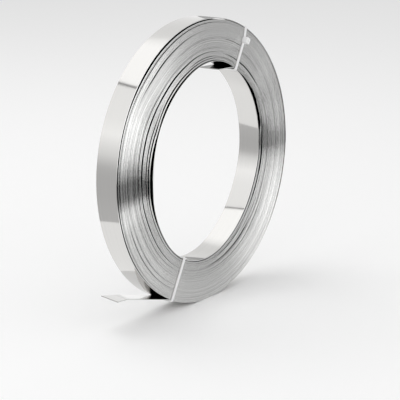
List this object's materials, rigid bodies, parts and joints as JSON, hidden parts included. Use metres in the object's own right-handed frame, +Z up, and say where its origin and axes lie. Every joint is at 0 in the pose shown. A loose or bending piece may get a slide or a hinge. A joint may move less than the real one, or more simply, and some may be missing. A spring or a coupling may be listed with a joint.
{
  "type": "coil of steel strip",
  "caption": "Coil of bright stainless steel banding strip standing on its rim, with an oval bore, a free tail and nylon cable ties that hold the turns together.",
  "frame": {"origin": "centre of the coil, on its axis, midway between its two ends", "axes": "+Y along the coil's axis, away from the front end that carries the upper tie's head; +Z up as the coil stands on its rim"},
  "size_m": [0.233, 0.0318, 0.233],
  "materials": {
    "steel_strip": "bright cold-rolled faces, slit edges",
    "white_nylon": "satin moulded"
  },
  "bodies": {
    "root": {"strip_coil": "steel_strip", "upper_tie": "white_nylon", "lower_tie": "white_nylon"}
  },
  "joints": []
}
